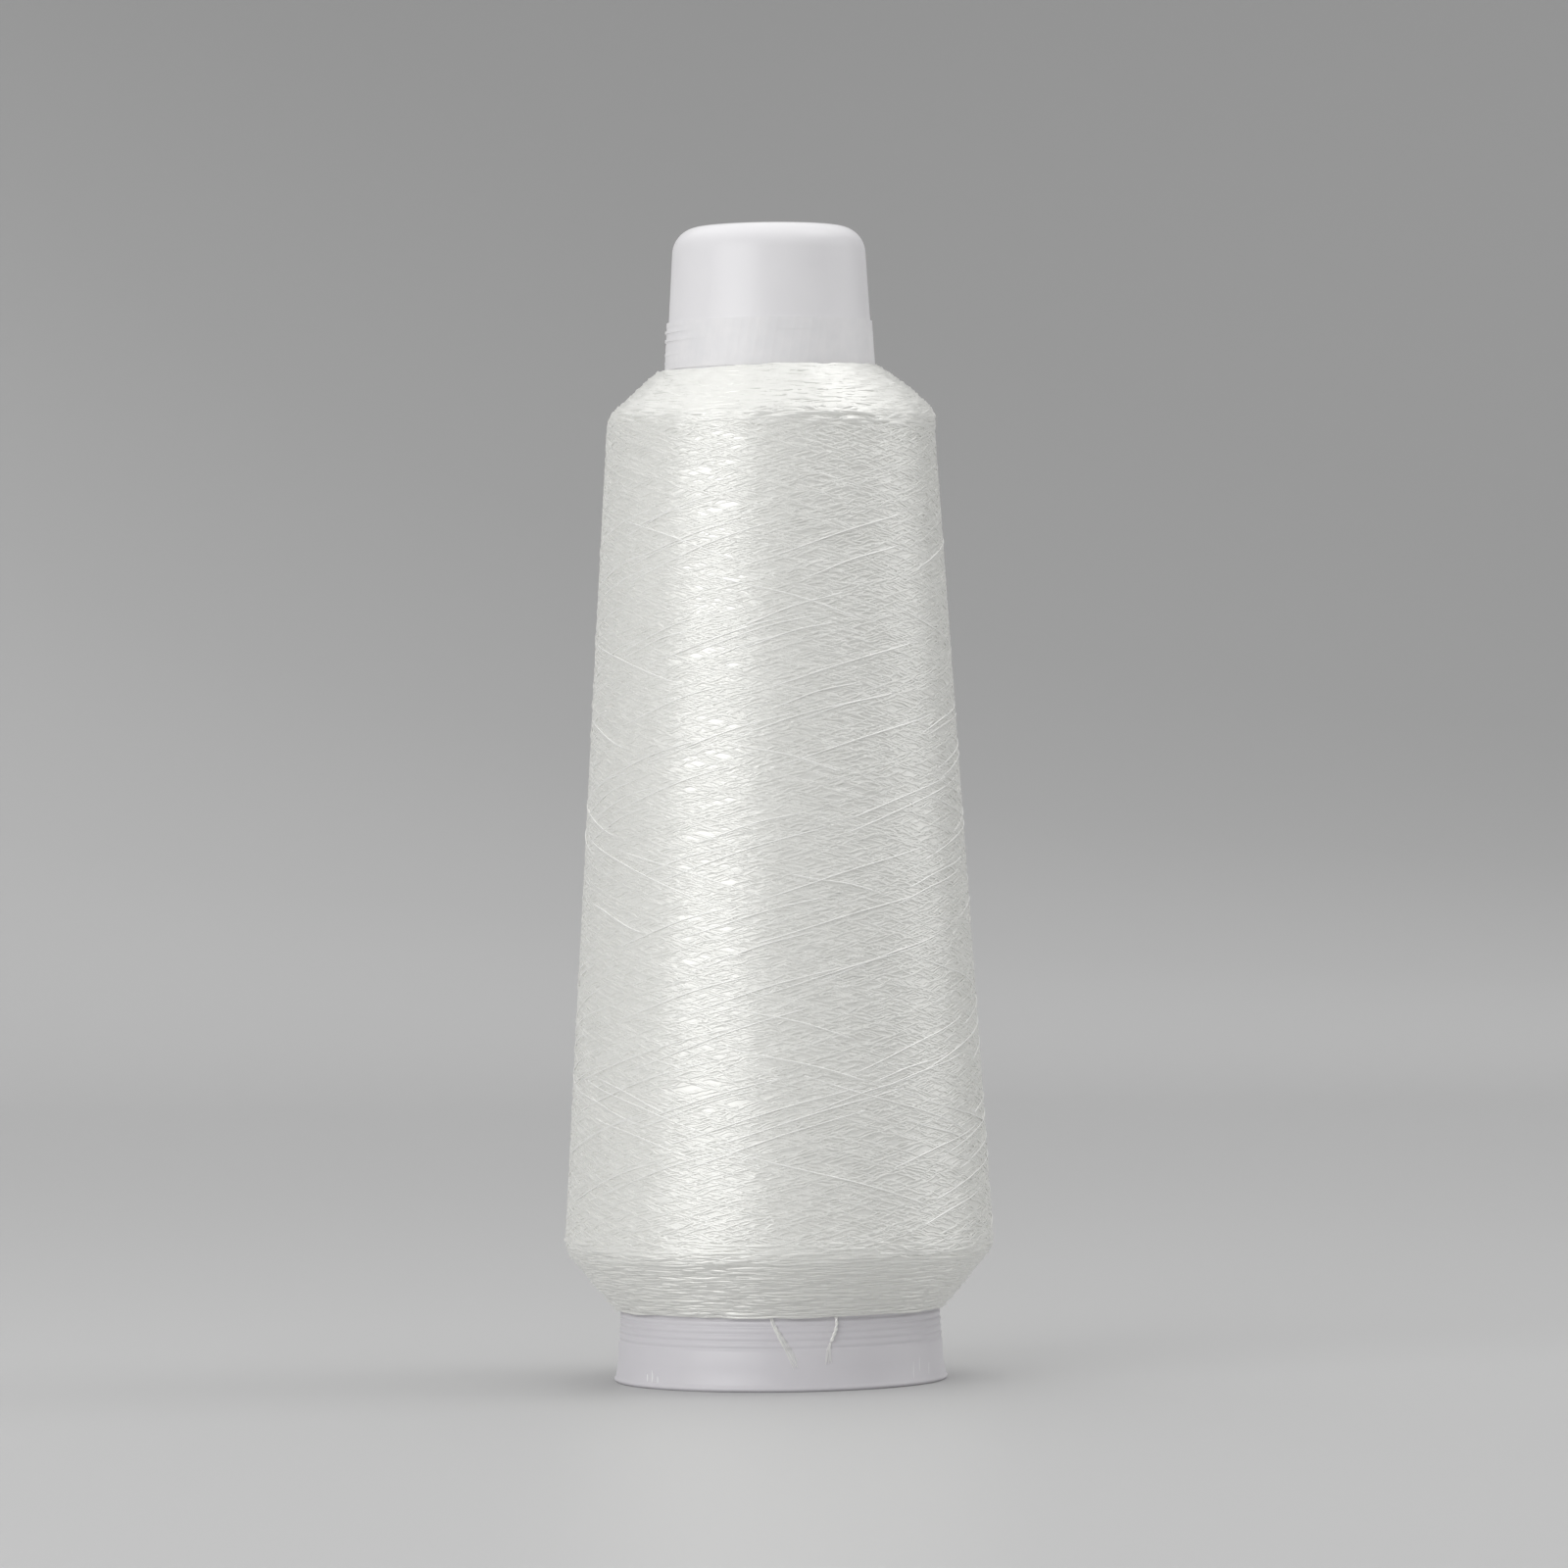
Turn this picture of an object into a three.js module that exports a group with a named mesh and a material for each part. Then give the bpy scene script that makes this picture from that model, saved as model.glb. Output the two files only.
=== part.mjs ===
// A thread cone: a hollow moulded plastic cone, cross-wound with fine glossy thread, standing on
// its wide end. Millimetres, +Z up. The origin is the centre of the foot, on the standing surface.
import * as THREE from "three";

// Cone core: one straight taper from foot to nose.
const CONE_HEIGHT = 170;
const CONE_TOP_RADIUS = 14.03;
const CONE_HALF_ANGLE = THREE.MathUtils.degToRad(3.42);
const CONE_WALL = 1.4;
const NOSE_ROUNDING = 4;
const NOSE_HOLE_RADIUS = 8;
const HOLE_EDGE_ROUNDING = 0.4;

// Foot: the lowest stretch flares out to a flat rim with a broken edge.
const RIM_RADIUS = 24.7;
const RIM_EDGE = 0.3;
const FLARE_HEIGHT = 3.4;

// Skirt grooves: shallow V grooves round the foot, just below the thread.
const GROOVE_COUNT = 5;
const GROOVE_FIRST_Z = 6.2;
const GROOVE_PITCH = 1.05;
const GROOVE_HALF_WIDTH = 0.3;
const GROOVE_DEPTH = 0.2;

// Thread package: a straight tapered body between two sloping shoulders.
const PACKAGE_BOTTOM_Z = 10.7;
const PACKAGE_TOP_Z = 149.2;
const PACKAGE_END_WIDTH = 0.5;
const BODY_BOTTOM = { radius: 31.62, z: 19.6 };
const BODY_TOP = { radius: 24.06, z: 142.0 };
const SHOULDER_ROUNDING = 1.6;

// Neck wrap: a thin layer of stray turns above the package.
const WRAP_TOP_Z = 156.1;
const WRAP_THICKNESS = 0.3;

// Loose thread ends, lying down the front of the skirt.
const THREAD_DIAMETER = 0.4;
const END_TOP_Z = 10.3;

// Clearance between pieces that touch.
const CORE_CLEARANCE = 0.2;
const END_CLEARANCE = 0.3;

const LATHE_SEGMENTS = 64;
const ARC_STEPS = 5;
const THREAD_SIDES = 8;

function point(radius, z) {
  return new THREE.Vector2(radius, z);
}

// Radius of the plain tapered outside of the cone at height z.
function taperRadius(z) {
  return CONE_TOP_RADIUS + (CONE_HEIGHT - z) * Math.tan(CONE_HALF_ANGLE);
}

// Radius of the outside of the cone at height z, with the flare of the foot.
function coreRadius(z) {
  const intoFlare = Math.max(0, 1 - z / FLARE_HEIGHT);
  return taperRadius(z) + (RIM_RADIUS - taperRadius(0)) * intoFlare ** 2;
}

// The corner of an outline between two straight runs, rounded with a tangent arc.
function roundedCorner(before, corner, after, rounding) {
  const toBefore = before.clone().sub(corner).normalize();
  const toAfter = after.clone().sub(corner).normalize();
  const halfAngle = Math.acos(toBefore.dot(toAfter)) / 2;
  const middle = toBefore.clone().add(toAfter).normalize();
  const centre = corner.clone().addScaledVector(middle, rounding / Math.sin(halfAngle));
  const start = corner.clone().addScaledVector(toBefore, rounding / Math.tan(halfAngle)).sub(centre);
  const end = corner.clone().addScaledVector(toAfter, rounding / Math.tan(halfAngle)).sub(centre);
  const sweep = Math.atan2(start.cross(end), start.dot(end));
  const arc = [];
  for (let step = 0; step <= ARC_STEPS; step++) {
    arc.push(start.clone().rotateAround(point(0, 0), (sweep * step) / ARC_STEPS).add(centre));
  }
  return arc;
}

// A ring turned about Z from a closed outline, given counter-clockwise as [radius, z] points.
function turnedRing(outline) {
  const geometry = new THREE.LatheGeometry([...outline, outline[0]], LATHE_SEGMENTS);
  return geometry.rotateX(Math.PI / 2);
}

function footOutline() {
  const outline = [point(RIM_RADIUS - RIM_EDGE, 0)];
  for (let step = 0; step <= ARC_STEPS; step++) {
    const z = RIM_EDGE + ((FLARE_HEIGHT - RIM_EDGE) * step) / ARC_STEPS;
    outline.push(point(coreRadius(z), z));
  }
  return outline;
}

function grooveOutline() {
  const outline = [];
  for (let groove = 0; groove < GROOVE_COUNT; groove++) {
    const z = GROOVE_FIRST_Z + groove * GROOVE_PITCH;
    outline.push(point(taperRadius(z - GROOVE_HALF_WIDTH), z - GROOVE_HALF_WIDTH));
    outline.push(point(taperRadius(z) - GROOVE_DEPTH, z));
    outline.push(point(taperRadius(z + GROOVE_HALF_WIDTH), z + GROOVE_HALF_WIDTH));
  }
  return outline;
}

// The rounded nose, over the top, through the spindle hole and back down to the inside wall.
function noseOutline() {
  const roofZ = CONE_HEIGHT - CONE_WALL;
  const holeTop = point(NOSE_HOLE_RADIUS, CONE_HEIGHT);
  const outsideCorner = point(CONE_TOP_RADIUS, CONE_HEIGHT);
  const insideCorner = point(taperRadius(roofZ) - CONE_WALL, roofZ);
  const holeBottom = point(NOSE_HOLE_RADIUS, roofZ);
  return [
    ...roundedCorner(point(taperRadius(0), 0), outsideCorner, holeTop, NOSE_ROUNDING),
    ...roundedCorner(outsideCorner, holeTop, holeBottom, HOLE_EDGE_ROUNDING),
    holeBottom,
    ...roundedCorner(holeBottom, insideCorner, point(taperRadius(0) - CONE_WALL, 0), NOSE_ROUNDING - CONE_WALL),
  ];
}

function coneCore() {
  const footInside = point(taperRadius(0) - CONE_WALL, 0);
  return turnedRing([...footOutline(), ...grooveOutline(), ...noseOutline(), footInside]);
}

function threadPackage() {
  const insideBottom = point(taperRadius(PACKAGE_BOTTOM_Z) + CORE_CLEARANCE, PACKAGE_BOTTOM_Z);
  const insideTop = point(taperRadius(PACKAGE_TOP_Z) + CORE_CLEARANCE, PACKAGE_TOP_Z);
  const shoulderBottom = point(insideBottom.x + PACKAGE_END_WIDTH, PACKAGE_BOTTOM_Z);
  const shoulderTop = point(insideTop.x + PACKAGE_END_WIDTH, PACKAGE_TOP_Z);
  const bodyBottom = point(BODY_BOTTOM.radius, BODY_BOTTOM.z);
  const bodyTop = point(BODY_TOP.radius, BODY_TOP.z);
  return turnedRing([
    insideBottom,
    shoulderBottom,
    ...roundedCorner(shoulderBottom, bodyBottom, bodyTop, SHOULDER_ROUNDING),
    ...roundedCorner(bodyBottom, bodyTop, shoulderTop, SHOULDER_ROUNDING),
    shoulderTop,
    insideTop,
  ]);
}

function neckWrap() {
  const bottomZ = PACKAGE_TOP_Z + END_CLEARANCE;
  const bottomRadius = taperRadius(bottomZ) + CORE_CLEARANCE;
  const topRadius = taperRadius(WRAP_TOP_Z) + CORE_CLEARANCE;
  return turnedRing([
    point(bottomRadius, bottomZ),
    point(bottomRadius + WRAP_THICKNESS, bottomZ),
    point(topRadius + WRAP_THICKNESS, WRAP_TOP_Z),
    point(topRadius, WRAP_TOP_Z),
  ]);
}

// A point on the front of the skirt, one clearance outside the plastic.
function skirtPoint(x, z) {
  const radius = coreRadius(z) + END_CLEARANCE + THREAD_DIAMETER / 2;
  return new THREE.Vector3(x, -Math.sqrt(radius ** 2 - x ** 2), z);
}

function threadEnd(route) {
  const path = new THREE.CatmullRomCurve3(route.map(([x, z]) => skirtPoint(x, z)));
  const section = [];
  for (let side = 0; side < THREAD_SIDES; side++) {
    const angle = (2 * Math.PI * side) / THREAD_SIDES;
    section.push(point((Math.cos(angle) * THREAD_DIAMETER) / 2, (Math.sin(angle) * THREAD_DIAMETER) / 2));
  }
  const steps = Math.ceil(path.getLength() / (2.5 * THREAD_DIAMETER));
  const options = { extrudePath: path, steps, bevelEnabled: false };
  return new THREE.ExtrudeGeometry(new THREE.Shape(section), options);
}

function plastic() {
  return new THREE.MeshStandardMaterial({ color: 0xe6e3e9, roughness: 0.35, metalness: 0 });
}

function thread() {
  return new THREE.MeshStandardMaterial({ color: 0xf1f1ec, roughness: 0.45, metalness: 0 });
}

const object = new THREE.Group();

function add(name, geometry, material) {
  const mesh = new THREE.Mesh(geometry, material);
  mesh.name = name;
  object.add(mesh);
}

add("cone_core", coneCore(), plastic());
add("thread_package", threadPackage(), thread());
add("neck_wrap", neckWrap(), thread());
add("thread_end_left", threadEnd([[-1.1, END_TOP_Z], [-0.5, 8.6], [0.6, 6.4], [2.0, 4.1]]), thread());
add("thread_end_right", threadEnd([[8.0, END_TOP_Z], [7.6, 8.4], [7.0, 6.6], [6.9, 4.1]]), thread());

export default object;
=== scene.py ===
"""The looks of a thread cone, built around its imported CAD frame.

The finished object is a moulded plastic cone and one long thread. The thread is real geometry.
Its outer layers are one winding path that runs up and down the package and weaves as it crosses
itself, over a plain ring that stands for the layers inside. Separate turning points cover both
shoulders, and slack single threads stand proud of the body.
Lengths are in millimetres until make_mesh, which turns them into metres.
"""

import math

import bpy
import numpy as np
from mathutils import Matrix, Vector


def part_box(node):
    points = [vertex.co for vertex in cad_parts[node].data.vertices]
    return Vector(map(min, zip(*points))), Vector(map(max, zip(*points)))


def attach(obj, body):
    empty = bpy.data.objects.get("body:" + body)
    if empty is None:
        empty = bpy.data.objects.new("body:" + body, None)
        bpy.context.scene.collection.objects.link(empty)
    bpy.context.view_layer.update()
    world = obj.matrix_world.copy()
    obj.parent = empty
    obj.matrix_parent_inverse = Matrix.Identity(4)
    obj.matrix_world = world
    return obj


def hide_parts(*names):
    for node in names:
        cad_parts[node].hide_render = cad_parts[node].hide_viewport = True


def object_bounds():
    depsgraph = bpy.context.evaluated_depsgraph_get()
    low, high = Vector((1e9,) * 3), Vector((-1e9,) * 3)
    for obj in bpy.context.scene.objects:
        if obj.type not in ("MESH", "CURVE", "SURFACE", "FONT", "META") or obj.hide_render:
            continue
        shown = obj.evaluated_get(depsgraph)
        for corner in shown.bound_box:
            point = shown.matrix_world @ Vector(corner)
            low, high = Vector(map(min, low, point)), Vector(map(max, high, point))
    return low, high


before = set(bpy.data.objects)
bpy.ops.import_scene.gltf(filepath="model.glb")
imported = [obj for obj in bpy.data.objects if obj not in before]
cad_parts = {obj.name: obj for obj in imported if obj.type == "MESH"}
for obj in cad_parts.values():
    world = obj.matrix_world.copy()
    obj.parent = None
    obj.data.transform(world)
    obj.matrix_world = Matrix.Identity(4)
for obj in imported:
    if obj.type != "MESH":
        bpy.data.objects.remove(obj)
cad_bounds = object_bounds()

MM = 0.001
SEED = 20
BAKE_MAP = "OFBake"

# Camera: in front of the object and looking level, with a slight roll.
CAMERA_DISTANCE = 1095.0
CAMERA_HEIGHT = 87.8
CAMERA_SIDE = 1.4
CAMERA_ROLL = math.radians(0.62)
CAMERA_LENS = 170.3
CAMERA_SENSOR = 36.0
CAMERA_CLIP_END = 20

# Lights: name, azimuth in degrees from the camera's side, height, distance and size in metres,
# and power in watts.
WORLD_LIGHT = 0.325
SOFTBOXES = [
    ("key", -39, 0.42, 1.3, (1.15, 0.5), 7.2),
    ("side", 98, 0.35, 1.3, (0.9, 0.9), 2.35),
    ("side_high", 95, 1.3, 0.8, (0.6, 0.6), 1.9),
    ("overhead", 180, 1.35, 0.25, (2.4, 2.4), 19),
]

# Backdrop: a floor that bends up into a wall, and its grey levels up the wall, as shares of
# BACKDROP_RISE metres. The greys fall off up the wall, to the right and further back: painted
# shade.
BACKDROP_FRONT = -1500.0
BACKDROP_BACK = 900.0
BACKDROP_BEND = 500.0
BACKDROP_BEND_STEPS = 23
BACKDROP_TOP = 2600.0
BACKDROP_HALF_WIDTH = 3000.0
BACKDROP_ROUGHNESS = 0.45
BACKDROP_RISE = 0.5
BACKDROP_PAINTED_SIDE_FALLOFF = 2.0
BACKDROP_PAINTED_DEPTH_FALLOFF = 0.03
BACKDROP_TONES_WITH_PAINTED_FALLOFF = [
    (0.0, 0.58), (0.025, 0.50), (0.05, 0.51), (0.09, 0.56), (0.15, 0.505), (0.25, 0.40),
    (0.38, 0.345), (0.6, 0.31),
]

# Noise scales of the materials, per metre.
THREAD_MOTTLE = 420
THREAD_GLOSS = 900
PLASTIC_MOTTLE = 60
PLASTIC_GLOSS = 240
PLASTIC_GRAIN = 1500
SCUFF_MOTTLE = 400

# Cone core, finer than its CAD solid.
CORE_SEGMENTS = 240
CORE_SIDE_STEPS = 24
NOSE_ROUNDING = 4.0
NOSE_STEPS = 14
HOLE_RADIUS = 8.0
HOLE_EDGE_ROUNDING = 0.5
WALL = 1.4
RIM_ROUNDING = 0.5
EDGE_STEPS = 5
FLARE_HEIGHT = 3.4
FLARE_STEPS = 12
GROOVE_COUNT = 5
GROOVE_FIRST_Z = 6.2
GROOVE_PITCH = 1.05
GROOVE_WIDTH = 0.8
GROOVE_DEPTH = 0.17
GROOVE_STEPS = 9

# Outline of the package: its corners are smoothed over a window of short steps.
OUTLINE_STEP = 0.1
CORNER_WINDOW = 41

# Layers inside the package.
INNER_SEGMENTS = 180
INNER_DEPTH = 0.055
INNER_CLEARANCE = 0.06
INNER_BOTTOM_GAP = 0.2
INNER_TOP_GAP = 1.0
INNER_SHOULDER_RINGS = 12
INNER_BODY_RINGS = 30

# Thread, as it lies flattened on the package.
THREAD_WIDTH = 0.27
THREAD_WIDTH_SPREAD = 0.08
THREAD_HEIGHT = 0.09
THREAD_ROUNDING = math.radians(33)
WEAVE_DEPTH = 0.048
WEAVE_LIMIT = 0.07
WANDER = 0.1

# Winding path. The passes end a little past the package's corners or a little short of them.
WIND_ANGLE = math.radians(15.5)
TRAVERSE_PAIRS = 190
TURNS_PER_PAIR = 5.382
REVERSAL_LENGTH = 9.0
PAST_CORNER = (-1.2, 1.8)
PASS_DRIFT = 0.006
PATH_STEP = 0.6
WINDING_PIECES = 12

# Slack threads. Their rise is how far their middle stands above where their ends are sunk, and
# their reach is how far they go round the package, in radians.
RAISED_THREADS = 260
RAISED_POINTS = 28
RAISED_WIDTH = 0.22
RAISED_HEIGHT = 0.17
RAISED_RISE = 0.2
RAISED_SINK = 0.12
RAISED_ROUGHNESS = 0.012
RAISED_REACH = (0.5, 1.15)
RAISED_TOP_GAP = 16
RAISED_ANGLE_SPREAD = 0.02
RAISED_WAVE = 0.25
RAISED_TO_THE_RIGHT = 0.8

# Turning points of the layers, over the shoulders. Each turn strays across its shoulder as a
# whole, bends by up to its shoulder's curve and wanders a little along its length. Its ends are
# sunk by TURN_END_SINK thicknesses. The turns reach past the corner, onto the body.
SHOULDER_PIECES = 3
SHOULDER_SAMPLES = 200
SHOULDER_SMOOTHING = 15
SHOULDER_POINTS = 15
SHOULDER_GAP = 0.1
TURN_HALF_LENGTHS = (6.0, 11.0)
TURN_STRAY = 0.6
TURN_WANDER = 0.06
TURN_END_SINK = 1.3
CORNER_SINK = 0.14
LIP_LOW_SIDE = math.radians(215)
LOWER_SHOULDER = {
    "turns": 2500, "width": 0.44, "thickness": 0.28, "weave": 0.08, "past_corner": 3.6,
    "relief": 0.06, "relief_rows": 26, "relief_waves": 20,
    "curve": 0.5, "bulge": 0.0, "lip_drop": 0.0,
}
UPPER_SHOULDER = {
    "turns": 2200, "width": 0.52, "thickness": 0.18, "weave": 0.055, "past_corner": 2.5,
    "relief": 0.1, "relief_rows": 24, "relief_waves": 24,
    "curve": 1.2, "bulge": 0.32, "lip_drop": 1.1,
}

# Small waves of a shoulder's inner lip: size, waves round the package and phase.
LIP_WAVES = [(0.12, 5, 0), (0.08, 11, 1)]

# The fractional parts of this step's multiples fill the unit square evenly.
EVEN_STEP = np.array([0.7548776662, 0.5698402910])

# Stray turns round the neck. They start inside the package and end a gap below the top of the
# CAD wrap. Every WRAP_PROUD_PITCH one of them stands proud, WRAP_PROUD_SIDE radians from -X.
WRAP_PITCH = 0.3
WRAP_WIDTH = 0.36
WRAP_HEIGHT = 0.26
WRAP_OVERLAP = 0.3
WRAP_TOP_GAP = 0.2
WRAP_STEPS_PER_TURN = 72
WRAP_WANDER = 0.02
WRAP_PROUD = 0.35
WRAP_PROUD_PITCH = 1.1
WRAP_PROUD_SIDE = 0.15

# Loose thread ends.
PLY_SIZE = 0.26
PLY_ORBIT = 0.12
PLY_TWISTS = 4
PLIED_SHARE = 0.55
PLIED_STEPS = 90
PLIED_OVERLAP = 8
OPEN_FIBRES = 5
FANNED_STEPS = 40
FANNED_FIBRES = 13
FIBRE_SIZE = 0.06

# Moulding marks, bold on the left and faint on the right: x, z of the foot, z of the top and
# height of each.
RIDGE_SIZE = 0.16
RIDGE_STEPS = 7
RIDGES = [
    (-19.4, 0.9, 2.0, 0.07), (-18.7, 0.8, 2.6, 0.09), (-17.9, 0.8, 1.8, 0.06),
    (19.3, 1.0, 3.4, 0.02), (20.2, 1.9, 4.0, 0.03), (21.6, 1.2, 3.0, 0.02),
]


# ---------------------------------------------------------------- reading the frame

def outer_outline(node):
    """Heights and outer radii of a turned CAD node, lowest first."""
    points = np.array([v.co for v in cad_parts[node].data.vertices]) / MM
    heights = np.round(points[:, 2], 3)
    radii = np.hypot(points[:, 0], points[:, 1])
    levels = np.unique(heights)
    return levels, np.array([radii[heights == level].max() for level in levels])


def longest_run(levels):
    """The two neighbouring heights that are furthest apart: the ends of the long straight side."""
    gap = int(np.argmax(np.diff(levels)))
    return levels[gap], levels[gap + 1]


core_levels, core_radii = outer_outline("cone_core")
CORE_HEIGHT = core_levels[-1]
RIM_RADIUS = core_radii.max()
outside = core_radii >= np.maximum.accumulate(core_radii[::-1])[::-1]
taper_ends = longest_run(core_levels[outside])
taper_radii = np.interp(taper_ends, core_levels[outside], core_radii[outside])
taper_slope, taper_base = np.polyfit(taper_ends, taper_radii, 1)

pack_levels, pack_radii = outer_outline("thread_package")
body_low, body_high = longest_run(pack_levels)
PACK_BOTTOM = pack_levels[0]
PACK_TOP = pack_levels[-1]


def core_radius(z):
    """Radius of the plain taper of the core."""
    return taper_base + taper_slope * z


def foot_radius(z):
    """Outer radius of the core near the foot, with its flare."""
    flare = RIM_RADIUS - core_radius(0)
    return core_radius(z) + flare * np.maximum(0, 1 - z / FLARE_HEIGHT) ** 2


corner_window = np.hanning(CORNER_WINDOW)[1:-1]
smooth_levels = np.arange(PACK_BOTTOM, PACK_TOP, OUTLINE_STEP)
plain_radii = np.interp(smooth_levels, pack_levels, pack_radii)
smooth_radii = np.convolve(
    np.pad(plain_radii, len(corner_window) // 2, "reflect", reflect_type="odd"),
    corner_window / corner_window.sum(), mode="valid")


def pack_radius(z):
    """Outer radius of the finished thread package, with its corners softened."""
    return np.interp(z, smooth_levels, smooth_radii)


# ---------------------------------------------------------------- meshes

def make_mesh(name, points, quads, material, uv):
    """A closed mesh of quads. uv holds one pair for each corner of each quad."""
    mesh = bpy.data.meshes.new(name)
    mesh.vertices.add(len(points))
    mesh.vertices.foreach_set("co", (points * MM).astype(np.float32).ravel())
    mesh.loops.add(quads.size)
    mesh.loops.foreach_set("vertex_index", quads.astype(np.int32).ravel())
    mesh.polygons.add(len(quads))
    mesh.polygons.foreach_set("loop_start", np.arange(0, quads.size, 4, dtype=np.int32))
    mesh.polygons.foreach_set("use_smooth", np.ones(len(quads), dtype=bool))
    layer = mesh.uv_layers.new(name=BAKE_MAP)
    layer.data.foreach_set("uv", uv.astype(np.float32).ravel())
    mesh.update(calc_edges=True)
    mesh.materials.append(material)
    piece = bpy.data.objects.new(name, mesh)
    bpy.context.scene.collection.objects.link(piece)
    return piece


def turned(name, outline, segments, material):
    """A ring turned about Z from a closed, counter-clockwise outline of [radius, z] points."""
    outline = np.array(outline)
    count = len(outline)
    angles = np.arange(segments) * 2 * np.pi / segments
    radius = outline[None, :, 0]
    points = np.stack([
        radius * np.cos(angles)[:, None],
        radius * np.sin(angles)[:, None],
        np.broadcast_to(outline[None, :, 1], (segments, count)),
    ], axis=-1).reshape(-1, 3)
    turn, along = np.meshgrid(np.arange(segments), np.arange(count), indexing="ij")
    next_turn = (turn + 1) % segments
    next_along = (along + 1) % count
    quads = np.stack([
        turn * count + along,
        next_turn * count + along,
        next_turn * count + next_along,
        turn * count + next_along,
    ], axis=-1).reshape(-1, 4)
    steps = np.linalg.norm(np.roll(outline, -1, axis=0) - outline, axis=1)
    reach = np.concatenate([[0], np.cumsum(steps)]) / steps.sum()
    low_u, high_u = turn / segments, (turn + 1) / segments
    low_v, high_v = reach[along], reach[along + 1]
    uv = np.stack([
        np.stack([low_u, low_v], -1),
        np.stack([high_u, low_v], -1),
        np.stack([high_u, high_v], -1),
        np.stack([low_u, high_v], -1),
    ], axis=2)
    return make_mesh(name, points, quads, material, uv)


def strands(name, centres, lengths, width, height, material, sides=4, rounding=None):
    """Threads as closed tubes with an even number of sides. centres joins the threads' points
    end to end, lengths says how many points each thread has, and width and height are the
    thread's size. rounding shades a flat four-sided thread as if it was only slightly domed."""
    first = np.concatenate([[0], np.cumsum(lengths)[:-1]])
    last = first + np.array(lengths) - 1
    before = np.maximum(np.arange(len(centres)) - 1, np.repeat(first, lengths))
    after = np.minimum(np.arange(len(centres)) + 1, np.repeat(last, lengths))
    along = unit(centres[after] - centres[before])
    across = unit(np.cross(along, centres * [1, 1, 0]))
    outward = np.cross(across, along)
    angles = np.pi - (np.arange(sides) + 0.5) * 2 * np.pi / sides
    section = np.stack([np.cos(angles), np.sin(angles)]) / math.cos(math.pi / sides) / 2
    half_width = np.broadcast_to(width, len(centres))[:, None, None] * section[0][None, :, None]
    half_height = np.broadcast_to(height, len(centres))[:, None, None] * section[1][None, :, None]
    points = centres[:, None] + across[:, None] * half_width + outward[:, None] * half_height
    points = points.reshape(-1, 3)
    joined = np.ones(len(centres), dtype=bool)
    joined[last] = False
    ring = np.nonzero(joined)[0][:, None] * sides
    side = np.arange(sides)[None, :]
    next_side = (side + 1) % sides
    walls = np.stack(
        [ring + side, ring + next_side, ring + sides + next_side, ring + sides + side], axis=-1)
    quads = [walls.reshape(-1, 4)]
    for corner in range(1, sides - 2, 2):
        quads.append(first[:, None] * sides + np.array([0, corner + 2, corner + 1, corner]))
        quads.append(last[:, None] * sides + np.array([0, corner, corner + 1, corner + 2]))
    quads = np.concatenate(quads)
    piece = make_mesh(name, points, quads, material, wrapped_uv(points, quads))
    if rounding is not None:
        lean = np.sign(section)[..., None]
        normals = across[:, None] * lean[0] * math.sin(rounding)
        normals = normals + outward[:, None] * lean[1] * math.cos(rounding)
        piece.data.normals_split_custom_set_from_vertices(normals.reshape(-1, 3))
    return piece


def unit(vectors):
    """Each row scaled to a length of one."""
    return vectors / np.linalg.norm(vectors, axis=1, keepdims=True)


def wrapped_uv(points, quads):
    """Azimuth and height of each corner, with a quad's corners kept together over the seam."""
    azimuth = np.arctan2(points[:, 1], points[:, 0])[quads] / (2 * np.pi)
    azimuth += np.round(azimuth[:, :1] - azimuth)
    height = points[:, 2][quads] / CORE_HEIGHT
    return np.stack([azimuth - np.floor(azimuth[:, :1]), height], axis=-1)


def arc(centre, radius, start, end, steps):
    """Points on an arc in the [radius, z] plane, with angles in degrees."""
    angles = np.radians(np.linspace(start, end, steps + 1))
    return [[centre[0] + radius * math.cos(a), centre[1] + radius * math.sin(a)] for a in angles]


# ---------------------------------------------------------------- materials

def node_material(name):
    """A new material, with its node tree and its surface shader."""
    material = bpy.data.materials.new(name)
    material.use_nodes = True
    return material, material.node_tree, material.node_tree.nodes["Principled BSDF"]


def noise(tree, scale, detail):
    """A noise texture in the object's own space, which is in metres."""
    place = tree.nodes.new("ShaderNodeTexCoord")
    texture = tree.nodes.new("ShaderNodeTexNoise")
    texture.inputs["Scale"].default_value = scale
    texture.inputs["Detail"].default_value = detail
    tree.links.new(place.outputs["Object"], texture.inputs["Vector"])
    return texture.outputs["Fac"]


def ramp(tree, factor, low, high, start=0.3, end=0.7):
    """A colour ramp from low to high."""
    node = tree.nodes.new("ShaderNodeValToRGB")
    node.color_ramp.elements[0].position = start
    node.color_ramp.elements[0].color = (*low, 1)
    node.color_ramp.elements[1].position = end
    node.color_ramp.elements[1].color = (*high, 1)
    tree.links.new(factor, node.inputs["Fac"])
    return node.outputs["Color"]


def spread(tree, factor, low, high):
    """A number that runs from low to high with factor."""
    node = tree.nodes.new("ShaderNodeMapRange")
    node.inputs["From Min"].default_value = 0.3
    node.inputs["From Max"].default_value = 0.7
    node.inputs["To Min"].default_value = low
    node.inputs["To Max"].default_value = high
    tree.links.new(factor, node.inputs["Value"])
    return node.outputs["Result"]


def thread_material(name, dark, light, roughness, metallic):
    """Thread of one kind, a little uneven from turn to turn. Thread of continuous filaments
    mirrors light along its length, which the metallic share stands for."""
    material, tree, surface = node_material(name)
    colour = ramp(tree, noise(tree, THREAD_MOTTLE, 3), dark, light)
    tree.links.new(colour, surface.inputs["Base Color"])
    rough = spread(tree, noise(tree, THREAD_GLOSS, 2), *roughness)
    tree.links.new(rough, surface.inputs["Roughness"])
    surface.inputs["Metallic"].default_value = metallic
    return material


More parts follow.
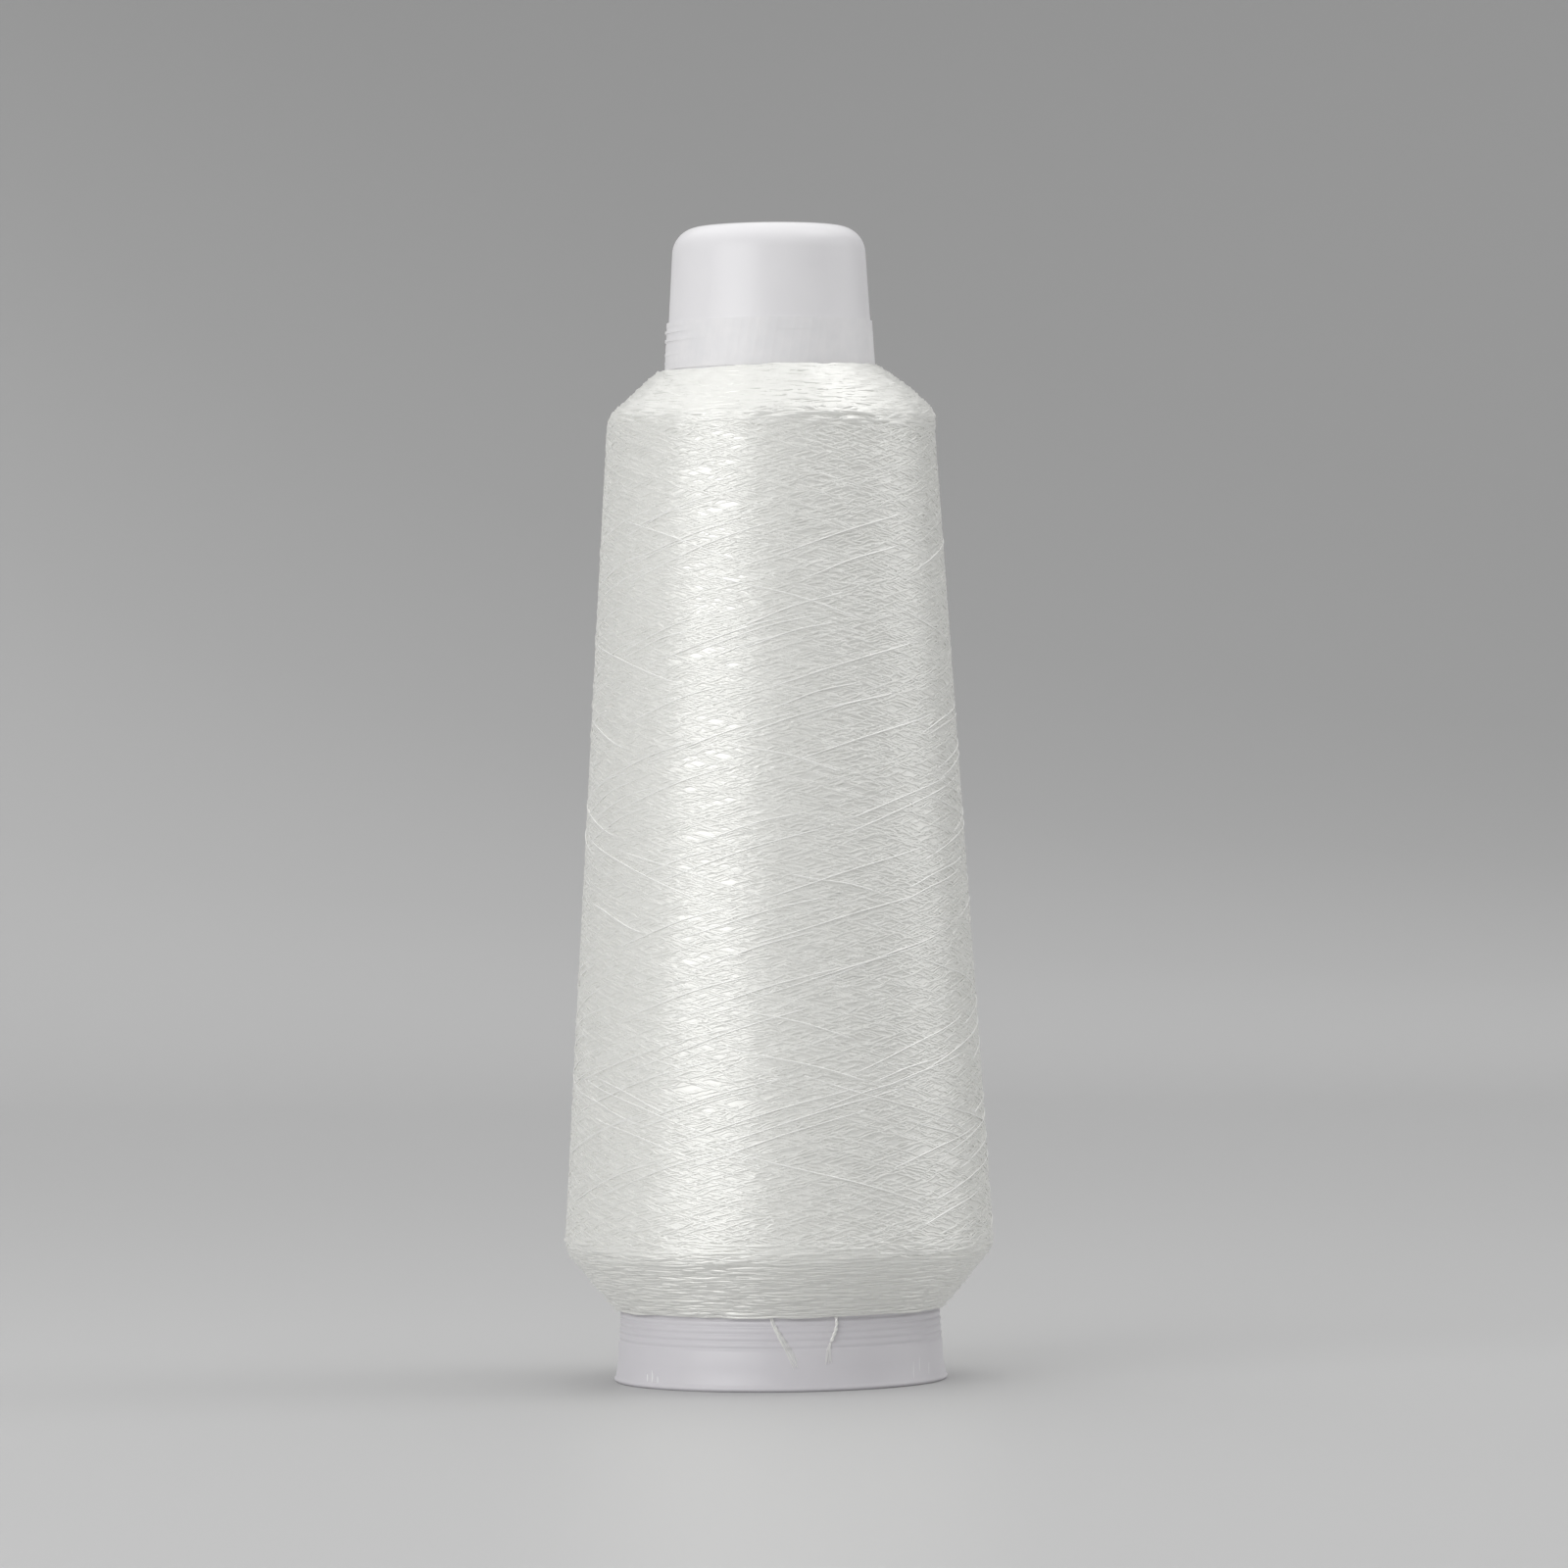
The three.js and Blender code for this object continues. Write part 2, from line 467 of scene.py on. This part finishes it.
def glossy_thread():
    """Warm white thread, crossing over and under itself."""
    return thread_material(
        "glossy_thread", (0.90, 0.90, 0.865), (0.94, 0.94, 0.905), (0.28, 0.38), 0.25)


def neck_thread():
    """The same thread flat and tight on the neck, with the plastic showing through."""
    return thread_material(
        "thread_on_neck", (0.84, 0.835, 0.85), (0.88, 0.87, 0.88), (0.4, 0.5), 0.0)


def painted_lit_thread():
    """The same thread where it lies free of the rest, in a lighter colour: painted light, a lit
    copy of the thread for the light these free threads catch.
    """
    return thread_material(
        "painted_lit_thread", (0.96, 0.96, 0.935), (0.99, 0.99, 0.965), (0.3, 0.4), 0.3)


def plastic_material():
    """Cool white moulded polypropylene with a satin face. Painted shade makes it a little greyer
    towards the foot, where the package overhangs the skirt.
    """
    material, tree, surface = node_material("moulded_plastic")
    colour = ramp(tree, noise(tree, PLASTIC_MOTTLE, 4), (0.83, 0.82, 0.84), (0.87, 0.86, 0.875))
    place = tree.nodes.new("ShaderNodeTexCoord")
    parts = tree.nodes.new("ShaderNodeSeparateXYZ")
    tree.links.new(place.outputs["Object"], parts.inputs["Vector"])
    # Painted shade: the colour darkens towards the foot, under the package's overhang.
    foot = ramp(tree, parts.outputs["Z"], (0.87, 0.86, 0.88), (1, 1, 1), 0.01, 0.14)
    shade = tree.nodes.new("ShaderNodeVectorMath")
    shade.operation = "MULTIPLY"
    tree.links.new(colour, shade.inputs[0])
    tree.links.new(foot, shade.inputs[1])
    tree.links.new(shade.outputs["Vector"], surface.inputs["Base Color"])
    rough = spread(tree, noise(tree, PLASTIC_GLOSS, 5), 0.33, 0.42)
    tree.links.new(rough, surface.inputs["Roughness"])
    bump = tree.nodes.new("ShaderNodeBump")
    bump.inputs["Strength"].default_value = 0.05
    bump.inputs["Distance"].default_value = 0.0002
    tree.links.new(noise(tree, PLASTIC_GRAIN, 3), bump.inputs["Height"])
    tree.links.new(bump.outputs["Normal"], surface.inputs["Normal"])
    return material


# ---------------------------------------------------------------- cone core

def core_outline():
    """The core's section, counter-clockwise from the foot: outside, nose, hole and inside."""
    outline = arc([RIM_RADIUS - RIM_ROUNDING, RIM_ROUNDING], RIM_ROUNDING, -90, 0, EDGE_STEPS)
    for z in np.linspace(RIM_ROUNDING * 1.5, FLARE_HEIGHT, FLARE_STEPS):
        outline.append([foot_radius(z), z])
    for groove in range(GROOVE_COUNT):
        middle = GROOVE_FIRST_Z + groove * GROOVE_PITCH
        for share in np.linspace(-0.5, 0.5, GROOVE_STEPS):
            z = middle + share * GROOVE_WIDTH
            outline.append([core_radius(z) - GROOVE_DEPTH * math.cos(math.pi * share) ** 2, z])
    below_nose = CORE_HEIGHT - NOSE_ROUNDING - 2
    for z in np.linspace(PACK_BOTTOM + 4, below_nose, CORE_SIDE_STEPS):
        outline.append([core_radius(z), z])
    lean = math.atan(-taper_slope)
    nose_z = CORE_HEIGHT - NOSE_ROUNDING
    nose_r = core_radius(nose_z + NOSE_ROUNDING * math.sin(lean))
    nose_r -= NOSE_ROUNDING * math.cos(lean)
    outline += arc([nose_r, nose_z], NOSE_ROUNDING, math.degrees(lean), 90, NOSE_STEPS)
    edge = HOLE_EDGE_ROUNDING
    outline += arc([HOLE_RADIUS + edge, CORE_HEIGHT - edge], edge, 90, 180, EDGE_STEPS)
    outline.append([HOLE_RADIUS, CORE_HEIGHT - WALL])
    inner_rounding = NOSE_ROUNDING - WALL
    outline += arc([nose_r, nose_z], inner_rounding, 90, math.degrees(lean), NOSE_STEPS // 2 + 1)
    for z in np.linspace(below_nose, 1, CORE_SIDE_STEPS):
        outline.append([core_radius(z) - WALL, z])
    outline.append([core_radius(0) - WALL, 0])
    return outline


# ---------------------------------------------------------------- winding

def soft_noise(rng, count, size, reach=1):
    """Noise along a thread, smoothed over reach steps each way, with the given spread."""
    window = np.hanning(2 * reach + 3)[1:-1]
    values = np.convolve(rng.normal(0, 1, count + 2 * reach), window, mode="valid")
    return values * size / np.linalg.norm(window)


def on_package(radius, azimuth, heights):
    """Points round the Z axis."""
    return np.stack([radius * np.cos(azimuth), radius * np.sin(azimuth), heights], axis=-1)


def winding_path(rng):
    """Azimuth and height along the thread's outer layers: a zigzag with soft turning points."""
    pass_steps = int((body_high - body_low) / math.sin(WIND_ANGLE) / PATH_STEP)
    passes = TRAVERSE_PAIRS * 2
    past_corner = rng.uniform(*PAST_CORNER, passes + 1)
    at_foot = np.arange(passes + 1) % 2 == 0
    ends = np.where(at_foot, body_low - past_corner, body_high + past_corner)
    knots = np.arange(passes + 1) * pass_steps
    zigzag = np.interp(np.arange(knots[-1]), knots, ends)
    window = np.hanning(int(2 * REVERSAL_LENGTH / PATH_STEP) | 1)
    padded = np.pad(zigzag, len(window) // 2, mode="edge")
    heights = np.convolve(padded, window / window.sum(), mode="valid")
    climb = np.gradient(heights, PATH_STEP)
    turn = np.sqrt(1 - np.clip(climb, -0.9, 0.9) ** 2) * PATH_STEP / pack_radius(heights)
    turn *= TURNS_PER_PAIR * 2 * np.pi * TRAVERSE_PAIRS / turn.sum()
    drift = rng.normal(0, PASS_DRIFT, passes + 1)
    azimuth = np.cumsum(turn) + np.interp(np.arange(len(turn)), knots, drift)
    return azimuth, heights


def body_winding(material, rng):
    """The outer layers of thread, which weave over and under each other as they cross."""
    azimuth, heights = winding_path(rng)
    count = len(heights)
    weave = np.clip(soft_noise(rng, count, WEAVE_DEPTH), -WEAVE_LIMIT, WEAVE_LIMIT)
    radius = pack_radius(heights) - THREAD_HEIGHT / 2 + weave
    centres = on_package(radius, azimuth, heights + soft_noise(rng, count, WANDER))
    share = count // WINDING_PIECES + 1
    pieces = []
    for index in range(WINDING_PIECES):
        part = centres[index * share: (index + 1) * share + 1]
        width = THREAD_WIDTH * (1 + soft_noise(rng, len(part), THREAD_WIDTH_SPREAD))
        name = f"thread_winding_{index + 1}"
        pieces.append(strands(
            name, part, [len(part)], width, THREAD_HEIGHT, material, rounding=THREAD_ROUNDING))
    return pieces


def raised_threads(material, rng):
    """Single threads that the winding left a little slack, so that they stand proud of the rest."""
    count, points_each = RAISED_THREADS, RAISED_POINTS
    share = np.linspace(0, 1, points_each)[None]
    reach = rng.uniform(*RAISED_REACH, count)[:, None]
    start = rng.uniform(0, 2 * np.pi, count)[:, None]
    low = rng.uniform(body_low + 1, body_high - RAISED_TOP_GAP, count)[:, None]
    climb = np.tan(WIND_ANGLE + rng.normal(0, RAISED_ANGLE_SPREAD, count))[:, None]
    way = np.where(rng.uniform(size=count) < RAISED_TO_THE_RIGHT, 1, -1)[:, None]
    heights = low + reach * pack_radius(low) * climb * share
    heights += RAISED_WAVE * np.sin(share * 2 * np.pi + start)
    azimuth = start + way * reach * share
    proud = RAISED_RISE * np.sin(share * np.pi) ** 0.5 - RAISED_SINK
    roughness = soft_noise(rng, count * points_each, RAISED_ROUGHNESS)
    proud = proud + roughness.reshape(count, points_each)
    centres = on_package(pack_radius(heights) + proud, azimuth, heights).reshape(-1, 3)
    lengths = [points_each] * count
    return strands("raised_threads", centres, lengths, RAISED_WIDTH, RAISED_HEIGHT, material, 6)


def shoulder_surface(end, corner):
    """The package's outline from its end to past the corner, as functions of a share of the
    way: radius, height and the two parts of the outward direction. Also gives its length."""
    heights = np.linspace(end, corner, SHOULDER_SAMPLES)
    radii = pack_radius(heights)
    steps = np.hypot(np.diff(radii), np.diff(heights))
    shares = np.concatenate([[0], np.cumsum(steps)]) / steps.sum()
    lean = np.arctan2(np.gradient(radii), np.abs(np.gradient(heights)))
    window = np.ones(2 * SHOULDER_SMOOTHING + 1)
    padded = np.pad(lean, SHOULDER_SMOOTHING, mode="edge")
    lean = np.convolve(padded, window / window.sum(), mode="valid")
    up = -np.sin(lean) * math.copysign(1, corner - end)

    def at(share):
        columns = (radii, heights, np.cos(lean), up)
        return [np.interp(share, shares, column) for column in columns]

    return at, steps.sum()


def bundle_relief(rng, rows, waves):
    """Long, low, lens-shaped swellings over a shoulder, where turns lie bunched together. Gives
    a function of azimuth and of the share of the way across, which returns -1 to 1."""
    periods = rng.integers(waves * 0.7, waves * 1.4, rows + 2)
    phases = rng.uniform(0, 2 * np.pi, rows + 2)

    def at(azimuth, across):
        row = np.clip(across, 0, 1) * rows
        below = row.astype(int)
        blend = 0.5 - 0.5 * np.cos(np.pi * (row - below))
        low = np.sin(periods[below] * azimuth + phases[below])
        high = np.sin(periods[below + 1] * azimuth + phases[below + 1])
        return low * (1 - blend) + high * blend

    return at


def turn_bends(shape, share, rng):
    """How far each turn strays across the shoulder along its length."""
    count = shape["turns"]
    bend = rng.uniform(0.1, shape["curve"], (count, 1)) * share ** 2
    bend = bend + rng.normal(0, shape["curve"] / 4, (count, 1)) * share
    bend += rng.normal(0, TURN_STRAY, (count, 1))
    return bend + soft_noise(rng, bend.size, TURN_WANDER).reshape(bend.shape)


def inner_lip(shape, azimuth):
    """How far a shoulder's inner lip lies from the package's end. It waves a little, and on the
    upper shoulder it drops away towards LIP_LOW_SIDE."""
    lip = shape["lip_drop"] * (0.5 + 0.5 * np.cos(azimuth - LIP_LOW_SIDE)) ** 2
    return lip + sum(size * np.sin(azimuth * waves + phase) for size, waves, phase in LIP_WAVES)


def turn_lifts(shape, share, azimuth, across, relief, rng):
    """How far the turns lie above the package's outline. relief is from bundle_relief."""
    lift = soft_noise(rng, across.size, shape["weave"], 2).reshape(across.shape)
    lift += shape["relief"] * (relief(azimuth, across) - 0.5)
    lift -= shape["thickness"] * (0.5 + TURN_END_SINK * share ** 8)
    lift -= CORNER_SINK * np.clip(across * 4 - 3, 0, 1)
    lift += shape["bulge"] * np.sin(np.pi * across) * (1 + np.cos(azimuth))
    return lift


def shoulder_turns(name, end, corner, shape, material, rng):
    """The turning points of the layers, which lie side by side over a shoulder. end and corner
    are the heights between which they lie. The upper shoulder bulges towards +X. Gives a few
    pieces."""
    count = shape["turns"]
    relief = bundle_relief(rng, shape["relief_rows"], shape["relief_waves"])
    surface, slant = shoulder_surface(end, corner)
    places = rng.permutation((0.5 + np.arange(count)[:, None] * EVEN_STEP) % 1)
    start, middle = places[:, :1], places[:, 1:] * 2 * np.pi
    share = np.linspace(-1, 1, SHOULDER_POINTS)[None]
    half_length = rng.uniform(*TURN_HALF_LENGTHS, (count, 1))
    azimuth = middle + share * half_length / surface(start)[0]
    bend = turn_bends(shape, share, rng)
    across = np.clip(start * 0.9 + bend / slant, inner_lip(shape, azimuth) / slant, 1)
    radius, height, out, up = surface(across)
    lift = turn_lifts(shape, share, azimuth, across, relief, rng)
    centres = on_package(radius + lift * out, azimuth, height + lift * up)
    pieces = []
    for index, part in enumerate(np.array_split(centres, SHOULDER_PIECES)):
        pieces.append(strands(
            f"{name}_{index + 1}", part.reshape(-1, 3), [SHOULDER_POINTS] * len(part),
            shape["width"], shape["thickness"], material, 6))
    return pieces


def inner_layers(material):
    """The body of thread under the outer turns: a plain ring just below them."""
    levels = np.concatenate([
        np.linspace(PACK_BOTTOM + INNER_BOTTOM_GAP, body_low, INNER_SHOULDER_RINGS),
        np.linspace(body_low, body_high, INNER_BODY_RINGS)[1:],
        np.linspace(body_high, PACK_TOP - INNER_TOP_GAP, INNER_SHOULDER_RINGS)[1:],
    ])
    outline = [[pack_radius(z) - INNER_DEPTH, z] for z in levels]
    every_sixth = levels[::-6]
    outline += [[core_radius(z) + INNER_CLEARANCE, z] for z in every_sixth]
    return turned("thread_inner_layers", outline, INNER_SEGMENTS, material)


def neck_turns(material, rng):
    """Close stray turns round the neck, as one helix. A few of them stand proud on one side."""
    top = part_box("neck_wrap")[1].z / MM - WRAP_TOP_GAP
    bottom = PACK_TOP - WRAP_OVERLAP
    turns = (top - bottom) / WRAP_PITCH
    steps = int(turns * WRAP_STEPS_PER_TURN)
    azimuth = np.linspace(0, turns * 2 * np.pi, steps)
    climb = np.linspace(0, 1, steps)
    heights = bottom + (top - bottom) * climb
    heights += soft_noise(rng, steps, WRAP_WANDER, 12)
    proud = np.maximum(0, -np.cos(azimuth - WRAP_PROUD_SIDE)) ** 6 * climb
    proud *= np.maximum(0, np.cos(azimuth * WRAP_PITCH / WRAP_PROUD_PITCH)) ** 4
    radius = core_radius(heights) + WRAP_HEIGHT / 2 + WRAP_PROUD * proud
    centres = on_package(radius, azimuth, heights)
    helix = strands("neck_turns", centres, [steps], WRAP_WIDTH, WRAP_HEIGHT, material)
    helix.data.shade_flat()
    return helix


# ---------------------------------------------------------------- thread ends

def on_skirt(x, z, lift):
    """Points on the front of the skirt, lifted off the plastic."""
    radius = foot_radius(z) + lift
    return np.stack([x, -np.sqrt(radius ** 2 - x ** 2), z], axis=-1)


def end_route(node, bends, steps):
    """A smooth route down through the box of a CAD thread end. bends places its points across
    and up that box."""
    low, high = (np.array(corner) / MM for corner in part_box(node))
    bends = np.array(bends)
    spots = np.linspace(0, 1, len(bends))
    share = np.linspace(0, 1, steps)
    across = np.polynomial.Polynomial.fit(spots, bends[:, 0], len(bends) - 1)(share)
    up = np.polynomial.Polynomial.fit(spots, bends[:, 1], len(bends) - 1)(share)
    return low[0] + across * (high[0] - low[0]), low[2] + up * (high[2] - low[2])


def twisted_end(material, rng):
    """The right-hand end: two twisted plies, which open into fine fibres towards the tip."""
    steps = PLIED_STEPS
    x, z = end_route(
        "thread_end_right", [(0.9, 1.06), (0.8, 0.7), (0.25, 0.35), (0.3, -0.18)], steps)
    plied = int(steps * PLIED_SHARE)
    share = np.linspace(0, 1, steps)
    centres = []
    lengths = []
    for ply in range(2):
        angle = share[:plied] * PLY_TWISTS * 2 * np.pi + ply * np.pi
        lift = PLY_SIZE / 2 + PLY_ORBIT * (1 + np.sin(angle))
        centres.append(on_skirt(x[:plied] + PLY_ORBIT * np.cos(angle), z[:plied], lift))
        lengths.append(plied)
    for fibre in range(OPEN_FIBRES):
        part = slice(plied - PLIED_OVERLAP, steps - int(rng.integers(0, 12)))
        opening = share[part] - share[plied - PLIED_OVERLAP]
        side = (fibre - 2) * 0.5 * opening + 0.04 * np.sin(share[part] * 17 + fibre * 2)
        centres.append(on_skirt(x[part] + side, z[part], 0.08 + 0.05 * (fibre % 2)))
        lengths.append(len(opening))
    size = np.repeat([PLY_SIZE] * 2 + [FIBRE_SIZE] * OPEN_FIBRES, lengths)
    return strands("loose_end_right", np.concatenate(centres), lengths, size, size, material, 6)


def fanned_end(material, rng):
    """The left-hand end: untwisted fine fibres, lying side by side."""
    steps, count = FANNED_STEPS, FANNED_FIBRES
    x, z = end_route(
        "thread_end_left", [(0.0, 1.08), (0.22, 0.7), (0.6, 0.3), (0.98, -0.15)], steps)
    share = np.linspace(0, 1, steps)
    centres = []
    for fibre in range(count):
        side = (fibre / (count - 1) - 0.5) * (0.45 + 0.45 * share)
        side += 0.05 * np.sin(share * rng.uniform(4, 9) + fibre)
        shorten = z[0] + (z - z[0]) * rng.uniform(0.75, 1.0)
        centres.append(on_skirt(x + side, shorten, 0.01 + 0.02 * (fibre % 2)))
    centres = np.concatenate(centres)
    lengths = [steps] * count
    return strands("loose_end_left", centres, lengths, FIBRE_SIZE, FIBRE_SIZE, material, 6)


def painted_glint_plastic():
    """The core's plastic on the mould's scuffs, painted whiter than the rest: a painted highlight
    for the glints on these small ridges.
    """
    material, tree, surface = node_material("whitened_plastic")
    colour = ramp(tree, noise(tree, SCUFF_MOTTLE, 3), (0.93, 0.93, 0.94), (0.99, 0.99, 0.99))
    tree.links.new(colour, surface.inputs["Base Color"])
    rough = spread(tree, noise(tree, PLASTIC_GLOSS, 5), 0.35, 0.45)
    tree.links.new(rough, surface.inputs["Roughness"])
    return material


def moulding_marks(material):
    """Short upright scuffs left by the mould, low on the skirt."""
    rise = np.sin(np.linspace(0, np.pi, RIDGE_STEPS))
    centres = []
    for x, foot, top, height in RIDGES:
        z = np.linspace(foot, top, RIDGE_STEPS)
        centres.append(on_skirt(np.full(RIDGE_STEPS, x), z, height * rise - RIDGE_SIZE / 2))
    lengths = [RIDGE_STEPS] * len(RIDGES)
    return strands(
        "moulding_marks", np.concatenate(centres), lengths, RIDGE_SIZE, RIDGE_SIZE, material, 6)


# ---------------------------------------------------------------- set

def maths(tree, operation, *values):
    """A math node. Each value is a number or an output to link."""
    node = tree.nodes.new("ShaderNodeMath")
    node.operation = operation
    for socket, value in zip(node.inputs, values):
        if isinstance(value, float):
            socket.default_value = value
        else:
            tree.links.new(value, socket)
    return node.outputs["Value"]


def backdrop_material():
    """Grey paper. It is lit evenly here, so the light's falloff up the wall and to the right is
    painted into its tone as shade.
    """
    material, tree, surface = node_material("backdrop")
    place = tree.nodes.new("ShaderNodeTexCoord")
    parts = tree.nodes.new("ShaderNodeSeparateXYZ")
    tree.links.new(place.outputs["Object"], parts.inputs["Vector"])
    # Painted shade: the tone darkens further up the wall, to the right and further back.
    painted_side_falloff = maths(tree, "MULTIPLY_ADD", parts.outputs["X"], BACKDROP_PAINTED_SIDE_FALLOFF, 1.0)
    climb = maths(tree, "MULTIPLY", parts.outputs["Z"], painted_side_falloff)
    behind = maths(tree, "MAXIMUM", parts.outputs["Y"], 0.0)
    painted_depth_falloff = maths(tree, "MULTIPLY", behind, BACKDROP_PAINTED_DEPTH_FALLOFF)
    tone = tree.nodes.new("ShaderNodeValToRGB")
    tone.color_ramp.interpolation = "B_SPLINE"
    while len(tone.color_ramp.elements) < len(BACKDROP_TONES_WITH_PAINTED_FALLOFF):
        tone.color_ramp.elements.new(0.5)
    for stop, (position, grey) in zip(tone.color_ramp.elements, BACKDROP_TONES_WITH_PAINTED_FALLOFF):
        stop.position = position
        stop.color = (grey, grey, grey, 1)
    reach = maths(tree, "MULTIPLY", maths(tree, "ADD", climb, painted_depth_falloff), 1 / BACKDROP_RISE)
    tree.links.new(reach, tone.inputs["Fac"])
    tree.links.new(tone.outputs["Color"], surface.inputs["Base Color"])
    surface.inputs["Roughness"].default_value = BACKDROP_ROUGHNESS
    return material


def backdrop():
    """A floor that sweeps up into a wall behind the object."""
    outline = [[BACKDROP_FRONT, 0.0], [BACKDROP_BACK, 0.0]]
    for angle in np.radians(np.linspace(0, 90, BACKDROP_BEND_STEPS + 1))[1:]:
        along = BACKDROP_BACK + BACKDROP_BEND * math.sin(angle)
        outline.append([along, BACKDROP_BEND - BACKDROP_BEND * math.cos(angle)])
    outline.append([BACKDROP_BACK + BACKDROP_BEND, BACKDROP_TOP])
    sides = (-BACKDROP_HALF_WIDTH, BACKDROP_HALF_WIDTH)
    points = [(side, y, z) for y, z in outline for side in sides]
    faces = [(2 * i, 2 * i + 1, 2 * i + 3, 2 * i + 2) for i in range(len(outline) - 1)]
    mesh = bpy.data.meshes.new("backdrop")
    mesh.from_pydata((np.array(points) * MM).tolist(), [], faces)
    mesh.materials.append(backdrop_material())
    for face in mesh.polygons:
        face.use_smooth = True
    sweep = bpy.data.objects.new("backdrop", mesh)
    bpy.context.scene.collection.objects.link(sweep)


def camera():
    data = bpy.data.cameras.new("camera")
    data.lens = CAMERA_LENS
    data.sensor_width = CAMERA_SENSOR
    data.clip_end = CAMERA_CLIP_END
    view = bpy.data.objects.new("camera", data)
    view.location = (CAMERA_SIDE * MM, -CAMERA_DISTANCE * MM, CAMERA_HEIGHT * MM)
    view.rotation_euler = (math.pi / 2, CAMERA_ROLL, 0)
    bpy.context.scene.collection.objects.link(view)
    bpy.context.scene.camera = view


def softbox(name, azimuth, height, distance, size, power):
    """A soft rectangular light that faces the object. Azimuth 0 is the camera's side."""
    data = bpy.data.lights.new(name, "AREA")
    data.shape = "RECTANGLE"
    data.size, data.size_y = size
    data.energy = power
    light = bpy.data.objects.new(name, data)
    turn = math.radians(azimuth)
    light.location = (distance * math.sin(turn), -distance * math.cos(turn), height)
    aim = -(light.location - cad_centre())
    light.rotation_euler = aim.to_track_quat("-Z", "Y").to_euler()
    bpy.context.scene.collection.objects.link(light)


def cad_centre():
    low, high = cad_bounds
    return (low + high) / 2


def lights():
    world = bpy.data.worlds.new("studio")
    world.use_nodes = True
    world.node_tree.nodes["Background"].inputs["Color"].default_value = (1, 1, 1, 1)
    world.node_tree.nodes["Background"].inputs["Strength"].default_value = WORLD_LIGHT
    bpy.context.scene.world = world
    bpy.context.scene.view_settings.view_transform = "Standard"
    for settings in SOFTBOXES:
        softbox(*settings)


# ---------------------------------------------------------------- the object

def place(piece, nodes, slot):
    """Puts a piece on the one body, in place of its CAD nodes."""
    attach(piece, "root")
    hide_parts(*nodes)


camera()
lights()
backdrop()
rng = np.random.default_rng(SEED)
thread = glossy_thread()
# Painted light: the raised threads and loose ends take a lighter copy of the thread's colour.
painted_lit_thread_material = painted_lit_thread()
plastic = plastic_material()

place(turned("moulded_cone", core_outline(), CORE_SEGMENTS, plastic), ["cone_core"], "core_plastic")
place(inner_layers(thread), ["thread_package"], "thread")
for winding in body_winding(thread, rng):
    place(winding, ["thread_package"], "thread")
place(raised_threads(painted_lit_thread_material, rng), ["thread_package"], "thread")
low_turns = shoulder_turns(
    "lower_shoulder_turns", PACK_BOTTOM + SHOULDER_GAP, body_low + LOWER_SHOULDER["past_corner"],
    LOWER_SHOULDER, thread, rng)
high_turns = shoulder_turns(
    "upper_shoulder_turns", PACK_TOP - SHOULDER_GAP, body_high - UPPER_SHOULDER["past_corner"],
    UPPER_SHOULDER, thread, rng)
for turns in low_turns + high_turns:
    place(turns, ["thread_package"], "thread")
place(neck_turns(neck_thread(), rng), ["neck_wrap"], "thread")
place(fanned_end(painted_lit_thread_material, rng), ["thread_end_left"], "thread")
place(twisted_end(painted_lit_thread_material, rng), ["thread_end_right"], "thread")
# Painted highlight: the moulding marks take a whiter copy of the plastic.
place(moulding_marks(painted_glint_plastic()), ["cone_core"], "core_plastic")
